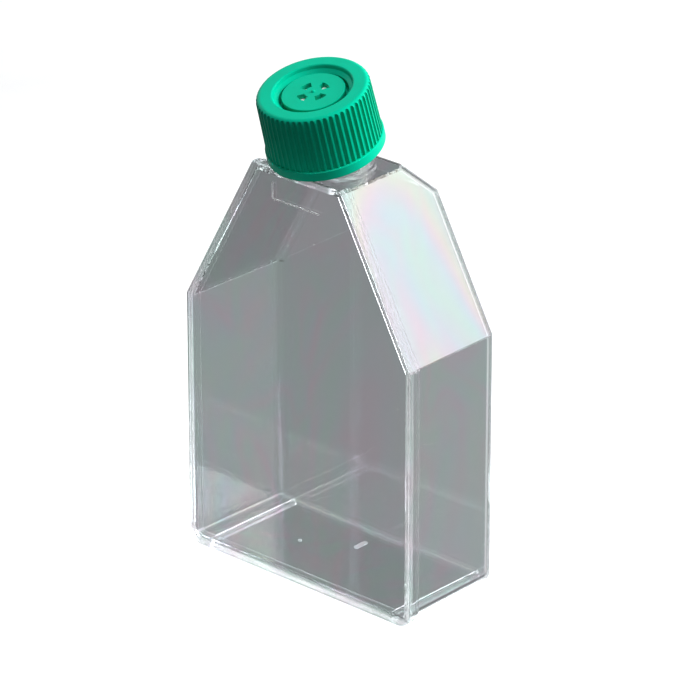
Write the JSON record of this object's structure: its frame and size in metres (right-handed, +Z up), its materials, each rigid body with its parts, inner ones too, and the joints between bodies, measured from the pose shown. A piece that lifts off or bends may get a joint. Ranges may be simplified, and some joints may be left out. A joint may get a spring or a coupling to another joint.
{
  "type": "cell culture flask",
  "caption": "Clear standing cell culture flask with sloping shoulders, a welded cover, a canted threaded neck and a green fluted screw cap with a vent membrane.",
  "frame": {"origin": "on the table, under the middle of the width and of the depth, the depth being measured over the cap", "axes": "+Z up along the height, +X along the width, the cover faces -Y and the growth face +Y"},
  "size_m": [0.085, 0.0456, 0.153],
  "materials": {
    "clear_polystyrene": "clear, polished",
    "green_cap": "glossy",
    "white_membrane": "matte"
  },
  "bodies": {
    "flask": {"flask_body": "clear_polystyrene", "cover_plate": "clear_polystyrene"},
    "vent": {"vent_membrane": "white_membrane"},
    "cap": {"screw_cap": "green_cap"}
  },
  "joints": [
    {"name": "cap_rise", "type": "slide", "parent": "flask", "child": "vent", "axis": [0, -0.284, 0.9588], "range_m": [0, 0.0192]},
    {"name": "cap_turn", "type": "hinge", "parent": "vent", "child": "cap", "pos_m": [0, -0.00229, 0.12999], "axis": [0, -0.284, 0.9588], "range_deg": [0, 864]}
  ],
  "couplings": [
    {"joint": "cap_rise", "follows": "cap_turn", "m_per_rad": 0.0012732}
  ]
}
